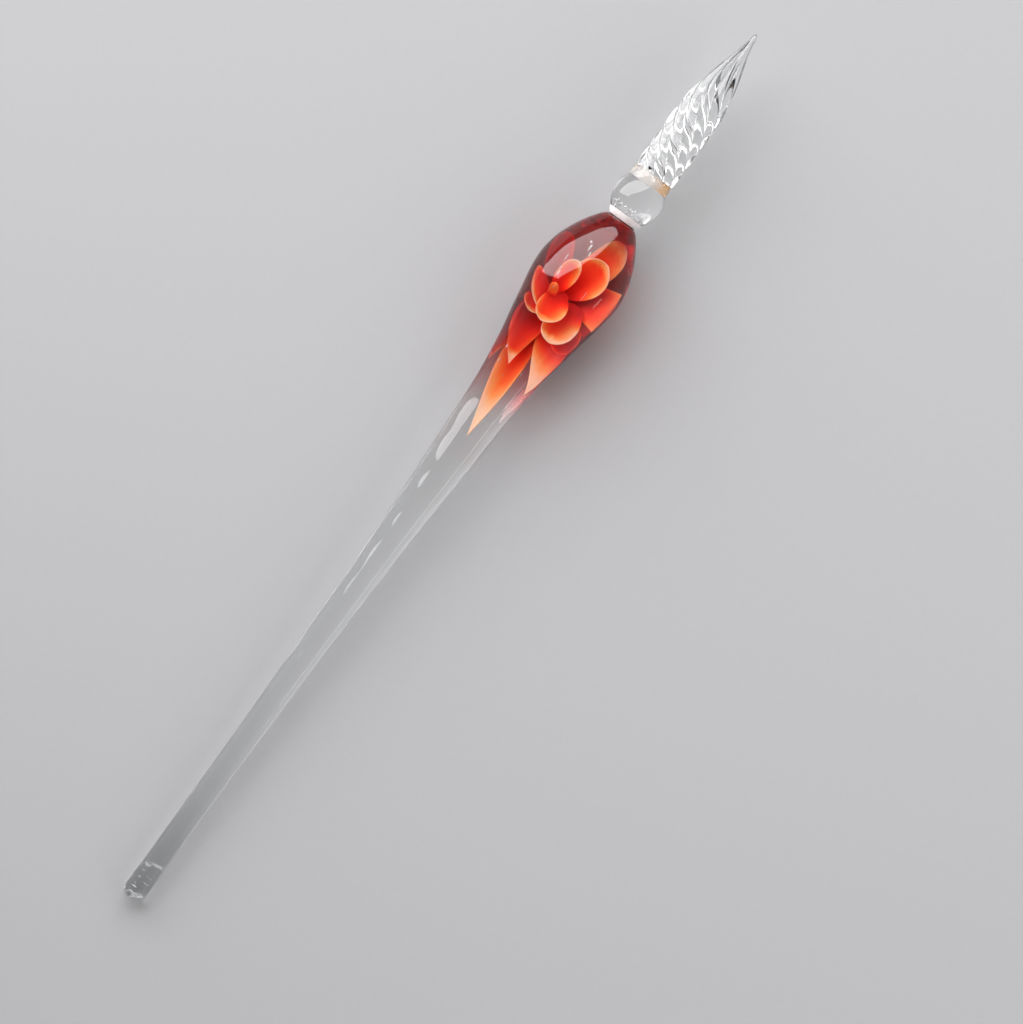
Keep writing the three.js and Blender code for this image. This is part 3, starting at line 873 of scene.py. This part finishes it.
petalLook = {
    # from the heart of a petal to its rim
    "colours": [
        (0.0, (0.5, 0.006, 0.004)), (0.2, (0.72, 0.016, 0.008)), (0.42, (0.86, 0.05, 0.014)),
        (0.64, (0.88, 0.15, 0.03)), (0.84, (0.9, 0.32, 0.1)), (1.0, (0.88, 0.56, 0.38)),
    ],
    "streaks": (220.0, 1300.0, 1300.0),    # per metre along the pen and across it
    "unevenness": 0.22,            # how far the streaks shift where the tip pales
    "rimFrom": (0.1, 0.5),         # shares of the length over which the pale rim sets in
    "bladeFrom": (0.05, 0.75),     # and over which the blade turns orange
    "tipEnd": 0.9,                 # share of the length where the tip is at its palest
    "roughness": (0.3, 0.5),
}


# Opaque petal glass: deep red at the heart, orange towards the rim and tip, with fine streaks along the pull.
# In the petal's own map U runs from root to tip and V is how close the rim is. Rim and tip screen each other,
# and what they leave is the blade's share. Painted shade darkens the red most and the rim least, and painted
# light brightens the red most and the rim least.
def makePetalGlass(name, rimMost, tipFrom, tipMost, bladeMost, paintedLightFactor):
    material, tree = startMaterial(name)
    surface = addNode(tree, "ShaderNodeTexCoord").outputs["UV"]
    split = addNode(tree, "ShaderNodeSeparateXYZ", {"Vector": surface}).outputs
    where = objectCoords(tree)
    inputs = {"Vector": where, "Scale": petalLook["streaks"]}
    streak = addNoise(tree, addNode(tree, "ShaderNodeMapping", inputs).outputs["Vector"], 1.0, 3.0)
    uneven = addMath(tree, "MULTIPLY", addMath(tree, "SUBTRACT", streak, 0.5), petalLook["unevenness"])
    rim = addMath(tree, "MULTIPLY", split["Y"], rimMost)
    rim = addMath(tree, "MULTIPLY", rim, fadeMask(tree, split["X"], *petalLook["rimFrom"]))
    tip = fadeMask(tree, addMath(tree, "ADD", split["X"], uneven), tipFrom, petalLook["tipEnd"], tipMost)
    left = addMath(tree, "MULTIPLY", addMath(tree, "SUBTRACT", 1.0, rim), addMath(tree, "SUBTRACT", 1.0, tip))
    blade = fadeMask(tree, split["X"], *petalLook["bladeFrom"], bladeMost)
    level = addMath(tree, "SUBTRACT", addMath(tree, "ADD", 1.0, addMath(tree, "MULTIPLY", blade, left)), left)
    level = addMath(tree, "ADD", level, addMath(tree, "MULTIPLY", uneven, 0.3))
    # painted light and shade: the factor scales the petal colours, darkening them below 1 and brightening
    # them above 1
    colours = [
        (at, tuple(part * paintedLightFactor ** (1 - 0.6 * at) for part in shade)) for at, shade in petalLook["colours"]
    ]
    smoothest, dullest = petalLook["roughness"]
    inputs = {"Value": addNoise(tree, where, 380.0, 2.0), "To Min": smoothest, "To Max": dullest}
    shader = addNode(tree, "ShaderNodeBsdfPrincipled", {
        "Base Color": addRamp(tree, level, colours),
        "Roughness": addNode(tree, "ShaderNodeMapRange", inputs).outputs["Result"],
        "Specular IOR Level": 0.06, "Normal": addBump(tree, streak, 0.04, 0.3),
        "Subsurface Weight": 0.25, "Subsurface Radius": (1.0, 0.25, 0.12), "Subsurface Scale": 0.6 * mm,
    })
    finishMaterial(tree, shader.outputs["BSDF"])
    return material


# Raises a value's size to a power and keeps its sign, which fills out an oval's section.
def signedPower(value, power):
    return np.sign(value) * np.abs(value) ** power


# A petal: its midline is a quadratic curve from root to tip that runs low and then lifts, and may sweep to
# one side; its half width rises as a power of the way along and falls as a power of the way left; a section
# is a flat oval with rounded edges, bent up towards both rims by the square of the way across. What would
# come too near the body's surface is drawn in towards the axis.
def petalGrid(name):
    ringName, tip, width, sweep, (litRimExtra, litSide), _ = petals[name]
    ring = ringShapes[ringName]
    tip = np.array(tip, float)
    centre = np.array([*petalRoots.get(name, (flower["station"], flower["left"])), ring["floor"]])
    outward = np.array([tip[0] - centre[0], tip[1] - centre[1], 0.0])
    length = np.linalg.norm(outward)
    outward /= length
    across = np.array([-outward[1], outward[0], 0.0])
    root = centre + outward * ring["root"] * 0.6
    bend = root + (tip - root) * ring["reach"] + sweep * across
    bend[2] = root[2] + (tip[2] - root[2]) * ring["rise"]
    v = (1 - np.cos(np.linspace(0.0, math.pi, flower["rows"]))) / 2
    phi = np.linspace(0.0, 2 * math.pi, flower["around"] + 1)
    t = v[:, None]
    midline = (1 - t) ** 2 * root + 2 * t * (1 - t) * bend + t**2 * tip
    along = 2 * (1 - t) * (bend - root) + 2 * t * (tip - bend)
    facing = np.cross(along / np.linalg.norm(along, axis=1, keepdims=True), across)
    facing /= np.linalg.norm(facing, axis=1, keepdims=True)
    peak = ring["base"] / (ring["base"] + ring["tipRound"])      # where it is widest
    fullness = peak ** ring["base"] * (1 - peak) ** ring["tipRound"]
    half = width / 2 * v ** ring["base"] * (1 - v) ** ring["tipRound"] / fullness
    thick = ring["thickness"] / 2 * (4 * v * (1 - v)) ** 0.3
    u = signedPower(np.cos(phi), 0.8)
    lift = ring["cup"] * u**2 * half[:, None] + signedPower(np.sin(phi), 0.6) * thick[:, None]
    points = midline[:, None] + (u * half[:, None])[..., None] * across + lift[..., None] * facing[:, None]
    limit = smoothRadius(bodyOutline, points[..., 0]) - flower["wallMargin"]
    radius = np.hypot(points[..., 1], points[..., 2])
    points[..., 1:] *= np.minimum(1.0, limit / np.maximum(radius, 1e-6))[..., None]
    toEdge = np.minimum(half[:, None] * (1 - np.abs(u)), (1 - v[:, None]) * length)
    # The pale rim is the petal's own colour. On the lit side it reaches further, and that extra is painted
    # light.
    reach = flower["rimReach"] + litRimExtra * smoothStep(*flower["litRimBlend"], litSide * u)
    return points, np.stack([np.repeat(t, len(phi), 1), np.exp(-toEdge / reach)], -1)


def makeFlower():
    glasses = {name: makePetalGlass(name + "PetalGlass", *look) for name, look in petalGlasses.items()}
    for name, petal in petals.items():
        points, uv = petalGrid(name)
        gridPiece(name + "_glass", points, uv, glasses[petal[-1]], [name])
    makeBud(glasses["bud"])


bud = {
    "tip": (56.3, 2.0, 4.4), "base": (58.3, 1.7, 0.0), "radius": 0.85,
    "foldDepth": 0.1,
    "rimShare": 0.42,              # how pale its skin is, on the petals' scale from heart to rim
    "rows": 60, "around": 48,
}


# The bud: a drop that fattens towards a round top, along a straight line from the flower's floor, with a
# three-fold twist in its side.
def makeBud(material):
    root, tip = np.array(bud["base"]), np.array(bud["tip"])
    way = tip - root
    height = np.linalg.norm(way)
    way /= height
    side = np.cross(way, np.array([0.0, 1.0, 0.0]))
    side /= np.linalg.norm(side)
    front = np.cross(way, side)
    t = np.concatenate([[0.0], np.linspace(0.0, 1.0, bud["rows"])])[:, None]
    radius = bud["radius"] * (0.6 + 0.4 * t) * np.sqrt(np.maximum(1 - t**5, 0.0))
    radius[0] = 0.0
    phi = np.linspace(0.0, 2 * math.pi, bud["around"] + 1)
    fold = 1 + bud["foldDepth"] * np.cos(3 * phi + 4 * t) * np.sin(math.pi * t)
    ring = np.cos(phi)[:, None] * side + np.sin(phi)[:, None] * front
    points = root + t[..., None] * height * way + (radius * fold)[..., None] * ring
    uv = np.stack([np.repeat(t, len(phi), 1), np.full(fold.shape, bud["rimShare"])], -1)
    gridPiece("flower_bud_glass", points, uv, material, ["flower_bud"])


makeFlower()
print("flower made")
